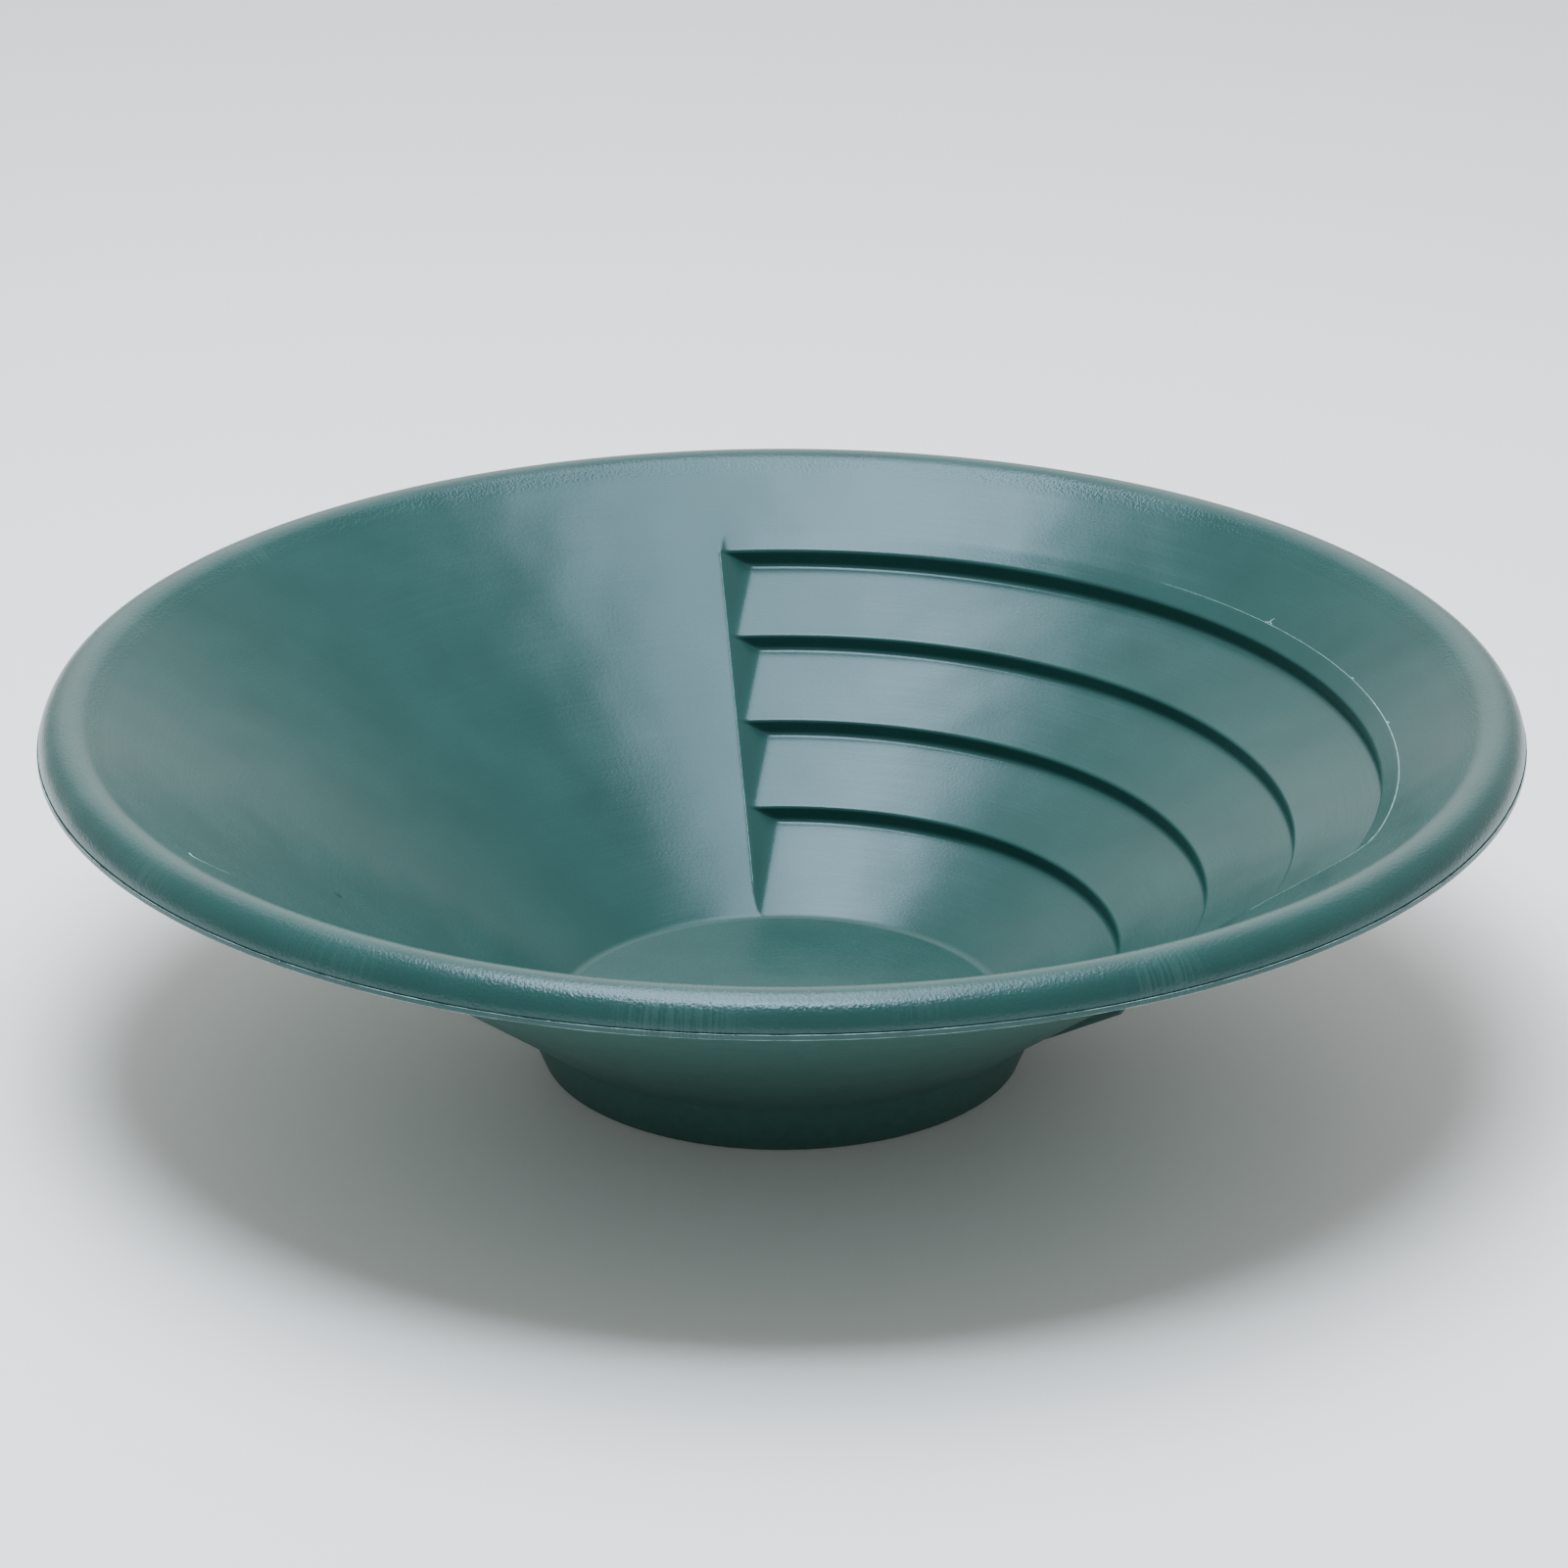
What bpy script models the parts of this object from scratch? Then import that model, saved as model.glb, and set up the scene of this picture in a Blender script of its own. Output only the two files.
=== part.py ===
"""Plastic gold pan: one injection moulding in polypropylene, with four riffles in a third of its wall.

Frame: +Z up, origin at the middle of the ring that the pan stands on. Metres and radians.
Angles run anticlockwise from +X. The riffles face the middle of the pan from SECTOR_START to SECTOR_END.

The pan is a sheet of even thickness. Its section is worked out first, as points (radius, height),
and then carried round the axis. The wall's own points are written (along, deep): the distance up the
slope from the floor's corner, and the depth below the plain wall, square to it.
"""

from math import asin, atan2, cos, hypot, pi, radians, sin, sqrt, tan

import bmesh
import bpy

# Rim: the wall rolls over a bead and ends in a thin band, where the two halves of the mould met.
RIM_RADIUS = 0.170
HEIGHT = 0.0895
ROLL_RADIUS = 0.007
BAND_HEIGHT = 0.0011
BAND_PROUD = 0.0003
WALL = 0.0022

# Floor, and the hollow ring under it.
FLOOR_HEIGHT = 0.0091
FLOOR_CORNER_RADIUS = 0.0527
FLOOR_FILLET = 0.0013
FOOT_RADIUS = 0.0559
FOOT_TOP_RADIUS = 0.0610
FOOT_TOP_HEIGHT = 0.0123

# Riffles: sharp lips, risers that lean under them, and treads that run down to the next lip.
SECTOR_START = radians(-23.6)
SECTOR_END = radians(96.4)
RIFFLES = 4
TOP_LIP = 0.1053
LIP_PITCH = 0.02465
LIP_DEPTH = 0.0008
TOP_LIP_DEPTH = 0.00035
LAND_WIDTH = 0.00275
LAND_DROP = 0.00045
SECTOR_MARGIN = 0.0049
RISER_DEPTH = 0.0036
RISER_LEAN = 0.00185
END_SPREAD = 0.0073
BACK_SWELL = 1.5  # the outside stands out further than the inside is let in

# How finely the shape is divided.
PLAIN_STRIPS = 48
RIFFLED_STRIPS = 28
END_SHARES = (0.2, 0.6, 1.0)
FILLET_STEPS = 3
ROLL_STEPS = 9
HOOK_STEPS = 6
CORNER_SHARE = 0.04
FLAT_WITHIN = radians(0.05)

ROLL_CENTRE = (RIM_RADIUS - BAND_PROUD - ROLL_RADIUS, HEIGHT - ROLL_RADIUS)
RISER_FOOT_DEPTH = LIP_DEPTH + RISER_DEPTH

# The plain wall runs straight from the floor's corner and touches the rolled rim.
REACH = (ROLL_CENTRE[0] - FLOOR_CORNER_RADIUS, ROLL_CENTRE[1] - FLOOR_HEIGHT)
SLOPE = atan2(REACH[1], REACH[0]) + asin(ROLL_RADIUS / hypot(*REACH))
WALL_LENGTH = sqrt(hypot(*REACH) ** 2 - ROLL_RADIUS**2)


def on_wall(along, deep):
    """Radius and height of a place on the wall."""
    radius = FLOOR_CORNER_RADIUS + along * cos(SLOPE) + deep * sin(SLOPE)
    height = FLOOR_HEIGHT + along * sin(SLOPE) - deep * cos(SLOPE)
    return radius, height


def between(start, end, share):
    """The place this share of the way from start to end."""
    return tuple(a + share * (b - a) for a, b in zip(start, end))


def at_depth(shallow, deepest, limit, most_share):
    """The place on a slanting line where the end wall, limit deep, cuts it off."""
    share = (limit - shallow[1]) / (deepest[1] - shallow[1])
    share = min(max(share, CORNER_SHARE), most_share)
    along, deep = between(shallow, deepest, share)
    return along, min(deep, limit)


def riffled_wall(share):
    """The wall's face from the first tread up, where the end walls let this share of the depth through."""
    limit = share * RISER_FOOT_DEPTH
    face = []
    tread_foot = (0.0, 0.0)
    for riffle in reversed(range(RIFFLES)):
        along = TOP_LIP - riffle * LIP_PITCH
        lip = (along, LIP_DEPTH if riffle else TOP_LIP_DEPTH)
        riser_foot = (along - RISER_LEAN, RISER_FOOT_DEPTH)
        land_end = (along + LAND_WIDTH, LIP_DEPTH + LAND_DROP) if riffle else (along + SECTOR_MARGIN, 0.0)
        face.append(at_depth(tread_foot, riser_foot, limit, 1 - CORNER_SHARE))
        face.append(at_depth(lip, riser_foot, limit, 1.0))
        face += [(s, min(deep, limit)) for s, deep in (lip, land_end)]
        tread_foot = land_end
    return face


def offset(path, distance):
    """The path moved sideways, to its right, with its corners kept sharp."""
    moved = []
    for before, here, after in zip(path, path[1:], path[2:]):
        directions = []
        for start, end in ((before, here), (here, after)):
            length = hypot(end[0] - start[0], end[1] - start[1])
            directions.append(((end[0] - start[0]) / length, (end[1] - start[1]) / length))
        (ax, ay), (bx, by) = directions
        half = tan((atan2(ay, ax) - atan2(by, bx)) / 2)
        moved.append((here[0] + distance * (ay - half * ax), here[1] - distance * (ax + half * ay)))
    return moved


def crossing(first, second, third, fourth):
    """Where the line through the first two points meets the line through the other two."""
    ax, ay = second[0] - first[0], second[1] - first[1]
    bx, by = fourth[0] - third[0], fourth[1] - third[1]
    share = ((third[0] - first[0]) * by - (third[1] - first[1]) * bx) / (ax * by - ay * bx)
    return between(first, second, share)


def rounded(start, corner, end, length, steps):
    """A smooth curve that takes the place of a corner, from length before it to length after it."""
    onto = between(corner, start, length / hypot(start[0] - corner[0], start[1] - corner[1]))
    away = between(corner, end, length / hypot(end[0] - corner[0], end[1] - corner[1]))
    curve = []
    for step in range(steps + 1):
        share = step / steps
        curve.append(between(between(onto, corner, share), between(corner, away, share), share))
    return curve


def arc(radius, start, end, steps):
    """Points on a circle about the middle of the rolled rim."""
    angles = [start + (end - start) * step / steps for step in range(steps + 1)]
    return [(ROLL_CENTRE[0] + radius * cos(a), ROLL_CENTRE[1] + radius * sin(a)) for a in angles]


def rim():
    """The rolled rim, from the top of the wall's face, over the bead and back up inside the hook."""
    tangent = pi / 2 + SLOPE
    band_bottom = ROLL_CENTRE[1] - BAND_HEIGHT
    bead = arc(ROLL_RADIUS, tangent, 0.0, ROLL_STEPS)
    hook = arc(ROLL_RADIUS - WALL, 0.0, tangent, HOOK_STEPS)
    band = [(RIM_RADIUS, ROLL_CENTRE[1]), (RIM_RADIUS, band_bottom), (hook[0][0], band_bottom)]
    return bead + band + hook


def section(share):
    """One half of the pan's section, from the edge of the floor round to the edge of the hollow below it."""
    corner = (FLOOR_CORNER_RADIUS, FLOOR_HEIGHT)
    riffled = riffled_wall(share)
    face = [on_wall(*place) for place in riffled]
    outside = offset([(0.0, 0.0)] + riffled + [(WALL_LENGTH, 0.0)], -WALL)
    back = [on_wall(along, WALL + (deep - WALL) * BACK_SWELL) for along, deep in outside]
    foot_line = ((FOOT_TOP_RADIUS, FOOT_TOP_HEIGHT), (FOOT_RADIUS, 0.0))
    foot_top = crossing(back[0], back[1], *foot_line)
    foot_inside = FOOT_RADIUS - WALL
    below = [foot_top, (FOOT_RADIUS, 0.0), (foot_inside, 0.0), (foot_inside, FLOOR_HEIGHT - WALL)]
    fillet = rounded((0.0, FLOOR_HEIGHT), corner, face[0], FLOOR_FILLET, FILLET_STEPS)
    return fillet + face + rim() + back[:0:-1] + below


def columns():
    """Each column's share of the riffles' depth, and the angle at which it stands at a given radius."""

    def from_start(radius, distance):
        return SECTOR_START + asin(distance / radius)

    def from_end(radius, distance):
        return SECTOR_END - asin(distance / radius)

    placed = [(0.0, lambda radius: SECTOR_START)]
    for share in END_SHARES:
        placed.append((share, lambda radius, at=share * END_SPREAD: from_start(radius, at)))
    for strip in range(1, RIFFLED_STRIPS):
        turn = strip / RIFFLED_STRIPS

        def angle(radius, turn=turn):
            first, last = from_start(radius, END_SPREAD), from_end(radius, END_SPREAD)
            return first + turn * (last - first)

        placed.append((1.0, angle))
    for share in reversed(END_SHARES):
        placed.append((share, lambda radius, at=share * END_SPREAD: from_end(radius, at)))
    plain_arc = 2 * pi - (SECTOR_END - SECTOR_START)
    for strip in range(PLAIN_STRIPS):
        placed.append((0.0, lambda radius, at=SECTOR_END + plain_arc * strip / PLAIN_STRIPS: at))
    return placed


def plastic(name):
    """Dark green polypropylene as it leaves the mould, satin."""
    material = bpy.data.materials.new(name)
    material.use_nodes = True
    shader = material.node_tree.nodes["Principled BSDF"]
    shader.inputs["Base Color"].default_value = (0.020, 0.115, 0.095, 1.0)
    shader.inputs["Roughness"].default_value = 0.38
    shader.inputs["Metallic"].default_value = 0.0
    return material


def pan():
    """The whole moulding, as one closed mesh."""
    shape = bmesh.new()
    rings = []
    for share, angle in columns():
        ring = [
            shape.verts.new((radius * cos(angle(radius)), radius * sin(angle(radius)), height))
            for radius, height in section(share)
        ]
        rings.append(ring)
    for here, beyond in zip(rings, rings[1:] + rings[:1]):
        for row in range(len(here) - 1):
            shape.faces.new((here[row], here[row + 1], beyond[row + 1], beyond[row]))
    shape.faces.new([ring[0] for ring in rings])
    shape.faces.new([ring[-1] for ring in reversed(rings)])
    bmesh.ops.dissolve_limit(
        shape, angle_limit=FLAT_WITHIN, use_dissolve_boundaries=False,
        verts=shape.verts, edges=shape.edges,
    )
    bmesh.ops.recalc_face_normals(shape, faces=shape.faces)
    mesh = bpy.data.meshes.new("pan")
    shape.to_mesh(mesh)
    shape.free()
    mesh.shade_smooth()
    mesh.set_sharp_from_angle(angle=radians(25))
    mesh.materials.append(plastic("green_polypropylene"))
    thing = bpy.data.objects.new("pan", mesh)
    bpy.context.scene.collection.objects.link(thing)
    return thing


for leftover in list(bpy.data.objects):
    bpy.data.objects.remove(leftover)
pan()
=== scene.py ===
"""Plastic gold pan: one injection moulding in dark green polypropylene, on a pale studio floor.

Laid out as an add-on and run as a script. The pan's section is worked out as points (radius, height),
once plain and once with the riffles cut to their full depth. A Geometry Nodes tree then turns it round
the axis, and lets the riffles in between two drafted end walls. Metres and radians, +Z up, origin in
the middle of the ring that the pan stands on, angles anticlockwise from +X seen from above.
"""

from math import asin, atan2, cos, degrees, hypot, pi, radians, sin, sqrt, tan

import bmesh
import bpy
from bpy.props import FloatProperty, FloatVectorProperty, IntProperty, PointerProperty
from bpy.types import Operator, Panel, PropertyGroup
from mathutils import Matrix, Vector


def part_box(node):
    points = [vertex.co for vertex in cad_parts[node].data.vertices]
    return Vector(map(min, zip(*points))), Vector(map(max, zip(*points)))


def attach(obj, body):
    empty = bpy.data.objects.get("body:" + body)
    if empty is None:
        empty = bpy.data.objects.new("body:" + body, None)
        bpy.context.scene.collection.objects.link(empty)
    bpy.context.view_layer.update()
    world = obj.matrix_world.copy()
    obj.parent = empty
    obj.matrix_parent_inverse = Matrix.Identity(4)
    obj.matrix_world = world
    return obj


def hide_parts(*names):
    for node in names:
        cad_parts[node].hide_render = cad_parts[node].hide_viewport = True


bl_info = {
    "name": "Gold Pan",
    "version": (1, 0, 0),
    "blender": (4, 5, 0),
    "location": "3D View > Sidebar > Gold Pan",
    "description": "Makes a moulded plastic gold pan with riffles, and a studio to see it in",
    "category": "Add Mesh",
}

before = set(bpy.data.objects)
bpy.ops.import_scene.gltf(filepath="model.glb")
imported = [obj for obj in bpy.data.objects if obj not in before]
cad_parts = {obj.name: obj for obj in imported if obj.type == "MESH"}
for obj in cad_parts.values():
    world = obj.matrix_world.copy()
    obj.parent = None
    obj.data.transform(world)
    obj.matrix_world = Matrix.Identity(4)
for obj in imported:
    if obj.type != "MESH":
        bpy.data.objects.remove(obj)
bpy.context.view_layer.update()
PAN_LOW, PAN_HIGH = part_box("pan")
BODY = "root"
NODE = "pan"

MM = 0.001

# How finely the shape is divided.
SUPPORT = 0.2 * MM
DENSE_ACROSS = 0.28 * MM
DENSE_ALONG = 1.0 * MM
DENSE_DEEP = 0.4 * MM
COLUMN_STEP = radians(1.5)
LEAST_DEPTH = 1e-9
END_CLEAR = radians(2.4)
BEAD_STEPS = 28
HOOK_STEPS = 12
FLOOR_STEPS = 10
FOOT_STEPS = 6
CORNER_STEPS = 5
FIN_STEPS = 720
LINE_STEPS = 24
WHISKER_STEPS = 12

# Places that the plastic's patterns are worked out from.
RIM_SPAN = 0.17
ROLL_START = 0.155
PIGMENT_LUMP = (-0.1014, -0.0193, 0.0468)

# What each fine pattern adds to the roughness at most, and what is first taken off to make up for them.
CLOUD_GLOSS, LINE_GLOSS, MARK_GLOSS = 0.08, 0.10, 0.05
MEAN_GLOSS = 0.08
MARK_PALENESS = 0.02

# The height of each fine pattern, in steps of BUMP_STEP.
BUMP_STEP = 0.09 * MM
PEEL_ON_WALL, PEEL_ON_ROLL = 0.2, 1.0
MARK_HEIGHT, LINE_HEIGHT, WAVE_HEIGHT, GRAIN_HEIGHT = 0.08, 0.05, 5.5, 0.25

POLYPROPYLENE_IOR = 1.49

# Directions from the camera's side away past the pan, and to the middle of the glow above that.
AWAY = (0.0, 1.0, 0.0)
GLOW = (0.0, 0.82, 0.57)

MATHS = "ShaderNodeMath"

# A place on the wall's line below the floor's corner, as (along, deep).
BELOW_CORNER = (-10 * MM, 0.0)

# Which columns a row of the section is needed in, and which half of the mould made it.
EVERYWHERE, IN_SECTOR, AT_ENDS = range(3)
INNER, OUTER = 0.0, 1.0
PATTERN_VALUES = ("turn", "lean", "across", "deep", "cut_out", "cut_down", "outside")


def linear(code):
    """An sRGB hex colour as linear RGBA."""
    shares = [int(code[at:at + 2], 16) / 255 for at in (0, 2, 4)]
    return [c / 12.92 if c <= 0.04045 else ((c + 0.055) / 1.055) ** 2.4 for c in shares] + [1.0]


def length(name, metres, description):
    """A size that a user can change."""
    return FloatProperty(
        name=name, description=description, default=metres, unit="LENGTH", precision=5, min=0.0
    )


def turn(name, angle, description):
    """An angle that a user can change, given in degrees."""
    return FloatProperty(name=name, description=description, default=radians(angle), subtype="ANGLE")


def number(name, value, description, most=1.0):
    """A plain number that a user can change."""
    return FloatProperty(name=name, description=description, default=value, min=0.0, max=most)


def colour(name, code, description):
    """A colour that a user can change, given as an sRGB hex value."""
    return FloatVectorProperty(
        name=name, description=description, default=linear(code), size=4, subtype="COLOR", min=0, max=1
    )


class BowlSizes(PropertyGroup):
    """The plain pan: floor, wall, rim and foot."""

    rim_radius: length("Rim Radius", min(PAN_HIGH.x, PAN_HIGH.y, -PAN_LOW.x, -PAN_LOW.y), "To the band")
    height: length("Height", PAN_HIGH.z, "From the foot to the top of the rolled rim")
    roll_radius: length("Roll Radius", 7.0 * MM, "Outer radius of the rolled rim")
    band_height: length("Band Height", 1.1 * MM, "Thin band at the mould's parting line")
    band_proud: length("Band Proud", 0.3 * MM, "How far the band stands out from the roll")
    wall: length("Wall", 2.2 * MM, "Thickness of the plastic")
    floor_height: length("Floor Height", 9.1 * MM, "Top of the floor above the foot's edge")
    floor_corner: length("Floor Corner", 52.7 * MM, "Radius at which floor and wall would meet")
    floor_fillet: length("Floor Fillet", 1.3 * MM, "Reach of the rounding between floor and wall")
    foot_radius: length("Foot Radius", 55.9 * MM, "Outside of the foot, at the bottom")
    foot_top_radius: length("Foot Top Radius", 61.0 * MM, "Outside of the foot, at the wall")
    foot_top_height: length("Foot Top Height", 12.3 * MM, "Where the foot meets the wall")
    foot_fillet: length("Foot Fillet", 1.6 * MM, "Reach of the rounding between foot and wall")
    edge_round: length("Edge Round", 0.35 * MM, "Reach of the rounding on the foot's edges")
    band_round: length("Band Round", 0.12 * MM, "Reach of the rounding on the band's edges")


class RiffleSizes(PropertyGroup):
    """The riffles cut into a third of the wall."""

    start: turn("Sector Start", -23.6, "First end of the riffles")
    end: turn("Sector End", 96.4, "Last end of the riffles")
    count: IntProperty(name="Riffles", description="Number of riffles", default=4, min=1, max=4)
    top_lip: length("Top Lip", 105.3 * MM, "Highest lip, up the slope from the floor's corner")
    pitch: length("Pitch", 24.65 * MM, "From lip to lip, up the slope")
    lip_depth: length("Lip Depth", 0.8 * MM, "How far the lips lie below the plain wall")
    top_lip_depth: length("Top Lip Depth", 0.35 * MM, "How far the top lip lies below the plain wall")
    land: length("Land", 2.75 * MM, "Strip above each lip")
    land_drop: length("Land Drop", 0.45 * MM, "How much deeper the strip's upper edge lies than the lip")
    margin: length("Margin", 4.9 * MM, "Strip that rises from the top lip to the plain wall")
    riser_depth: length("Riser Depth", 3.6 * MM, "Depth of each riser, square to the wall")
    riser_lean: length("Riser Lean", 1.85 * MM, "How far each riser is cut back under its lip")
    back_swell: number("Back Swell", 1.5, "How much deeper the riffles are outside than inside", 3)
    end_spread: length("End Spread", 7.3 * MM, "Width of the sloping end walls")
    end_soft: length("End Softness", 0.7 * MM, "Softness of the edge round the end walls")
    corner_soft: length("Corner Softness", 1.5 * MM, "Softness of the corners inside the end walls")
    lip_round: length("Lip Round", 0.7 * MM, "Reach of the rounding on a lip")
    riser_round: length("Riser Round", 1.0 * MM, "Reach of the rounding at the foot of a riser")
    land_round: length("Land Round", 0.7 * MM, "Reach of the rounding at the top of a land")


class FlashSizes(PropertyGroup):
    """The thin flash that the mould's joints leave on the plastic."""

    flecks: IntProperty(name="Flecks", description="Flecks on each edge of the band", default=240, min=0)
    seed: IntProperty(name="Seed", description="Which flecks are made", default=7)
    fleck: length("Fleck", 0.55 * MM, "Half the length of the longest fleck")
    fin: length("Fin", 0.055 * MM, "Half the thickness of the fin along the band")
    insert_radius: length("Insert Radius", 141.3 * MM, "Where the riffle insert met the rest of the mould")
    insert_line: length("Insert Line", 0.08 * MM, "Half the thickness of the insert's line")
    whisker: length("Whisker", 0.13 * MM, "Half the thickness of a whisker of flash")


class Finish(PropertyGroup):
    """Colours and gloss of the plastic."""

    deep_green: colour("Deep Green", "1D3F3A", "Inside, where the pigment is densest")
    pale_green: colour("Pale Green", "244A45", "Inside, where the skin is a little cloudy")
    outer_green: colour("Outer Green", "3B6159", "Outside, where the mould was blasted")
    # The two flash colours are pale partly because thin strained flash scatters light, and partly as painted
    # glints where the flash catches the light.
    flash_and_glint_green: colour("Flash And Glint Green", "BFE0DA", "Thin flash, which scatters light")
    strained_flash_and_glint_green: colour("Strained Flash And Glint Green", "4A8078", "Flash where it is thicker")
    speck_green: colour("Speck Green", "0C2B26", "A lump of pigment that didn't spread")
    polished: number("Polished Roughness", 0.25, "Inside of the pan and top of the rim")
    blasted: number("Blasted Roughness", 0.52, "Outside of the pan")


class Studio(PropertyGroup):
    """Floor, lights and camera."""

    floor_colour: colour("Floor Colour", "FAF8F5", "Pale paper floor")
    floor_radius: length("Floor Radius", 12.0, "Radius of the floor")
    front_light: number("Front Light", 0.45, "Brightness of the room on the camera's side", 10.0)
    horizon_light: number("Horizon Light", 0.75, "Brightness of the room low down behind the pan", 10.0)
    back_light: number("Back Light", 1.2, "How much brighter it is high up behind the pan", 10.0)
    softbox: number("Softbox", 21.0, "Watts of the softbox overhead", 1000.0)
    softbox_core: number("Softbox Core", 6.5, "Watts that its brighter part adds", 1000.0)
    front_softbox: number("Front Softbox", 6.0, "Watts of the softbox for the front of the rim", 1000.0)
    softbox_colour: colour("Softbox Colour", "E6F3FF", "Daylight lamp")
    lens: number("Lens", 140.32, "Focal length in millimetres", 400.0)
    camera_place: FloatVectorProperty(
        name="Camera", description="Where the camera stands", default=(0.0, -1.29747, 0.61472), unit="LENGTH"
    )
    camera_aim: FloatVectorProperty(
        name="Aim", description="What the camera looks at", default=(0.0005, 0.0, 0.06635), unit="LENGTH"
    )


def add(tree, kind, inputs=(), **settings):
    """Adds a node, sets its properties, and gives its inputs values or links, by name or in order.

    A node that is given as a value stands for its first output.
    """
    node = tree.nodes.new(kind)
    for name, value in settings.items():
        setattr(node, name, value)
    for name, value in (inputs if isinstance(inputs, dict) else dict(enumerate(inputs))).items():
        if isinstance(value, bpy.types.Node):
            value = value.outputs[0]
        if isinstance(value, bpy.types.NodeSocket):
            tree.links.new(value, node.inputs[name])
        else:
            node.inputs[name].default_value = value
    return node


def between(start, end, part):
    """The place this part of the way from start to end."""
    return tuple(a + part * (b - a) for a, b in zip(start, end))


def towards(start, end, distance):
    """The place this distance from start on the way to end."""
    return between(start, end, distance / hypot(end[0] - start[0], end[1] - start[1]))


def offset(path, distance):
    """The path moved sideways, to its right, with its corners kept sharp and its two ends left off."""
    moved = []
    for before, here, after in zip(path, path[1:], path[2:]):
        into = atan2(here[1] - before[1], here[0] - before[0])
        out = atan2(after[1] - here[1], after[0] - here[0])
        middle, half = (into + out) / 2 - pi / 2, (out - into) / 2
        reach = distance / cos(half)
        moved.append((here[0] + reach * cos(middle), here[1] + reach * sin(middle)))
    return moved


def crossing(first, second, third, fourth):
    """Where the line through the first two points meets the line through the other two."""
    ax, ay = second[0] - first[0], second[1] - first[1]
    bx, by = fourth[0] - third[0], fourth[1] - third[1]
    part = ((third[0] - first[0]) * by - (third[1] - first[1]) * bx) / (ax * by - ay * bx)
    return between(first, second, part)


def rounded(before, corner, after, reach, steps=CORNER_STEPS, support=SUPPORT):
    """A rounding in place of a corner, with a point just beyond each end to keep the flats flat."""
    onto, away = towards(corner, before, reach), towards(corner, after, reach)
    curve = [towards(corner, before, reach + support)]
    for step in range(steps + 1):
        part = step / steps
        curve.append(between(between(onto, corner, part), between(corner, away, part), part))
    return curve + [towards(corner, after, reach + support)]


def softened(corners, reaches):
    """A path of straight runs with each inner corner rounded by its own reach."""
    path = [corners[0]]
    for before, corner, after, reach in zip(corners, corners[1:], corners[2:], reaches):
        path += rounded(before, corner, after, reach)
    return path + [corners[-1]]


class Wall:
    """The plain wall's slope, from the floor's corner to where it touches the rolled rim."""

    def __init__(self, bowl):
        self.corner = (bowl.floor_corner, bowl.floor_height)
        self.roll = (bowl.rim_radius - bowl.band_proud - bowl.roll_radius, bowl.height - bowl.roll_radius)
        run, rise = self.roll[0] - self.corner[0], self.roll[1] - self.corner[1]
        self.slope = atan2(rise, run) + asin(bowl.roll_radius / hypot(run, rise))
        self.length = sqrt(run ** 2 + rise ** 2 - bowl.roll_radius ** 2)
        self.up = (cos(self.slope), sin(self.slope))
        self.down = (sin(self.slope), -cos(self.slope))

    def at(self, along, deep=0.0):
        """Radius and height of the place this far up the slope and this deep below the plain wall."""
        return tuple(c + along * u + deep * d for c, u, d in zip(self.corner, self.up, self.down))


def riffle_corners(riffles):
    """The riffles' own corners as (along, deep), and how far each is rounded."""
    foot_depth = riffles.lip_depth + riffles.riser_depth
    corners, reaches = [(0.0, 0.0)], []
    for riffle in reversed(range(riffles.count)):
        along = riffles.top_lip - riffle * riffles.pitch
        lip_depth = riffles.lip_depth if riffle else riffles.top_lip_depth
        corners += [(along - riffles.riser_lean, foot_depth), (along, lip_depth)]
        land_end = (along + riffles.land, riffles.lip_depth + riffles.land_drop)
        corners.append(land_end if riffle else (along + riffles.margin, 0.0))
        reaches += [riffles.riser_round, riffles.lip_round, riffles.land_round]
    return corners, reaches


def dense(path):
    """The path with points added between its own, each with the columns that it is needed in."""
    rows = []
    for start, end in zip(path, path[1:]):
        rows.append((start, IN_SECTOR))
        steps = max((end[0] - start[0]) / DENSE_ALONG, abs(end[1] - start[1]) / DENSE_DEEP)
        for step in range(1, int(steps) + 1):
            rows.append((between(start, end, step / (int(steps) + 1)), AT_ENDS))
    return rows + [(path[-1], IN_SECTOR)]


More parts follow.
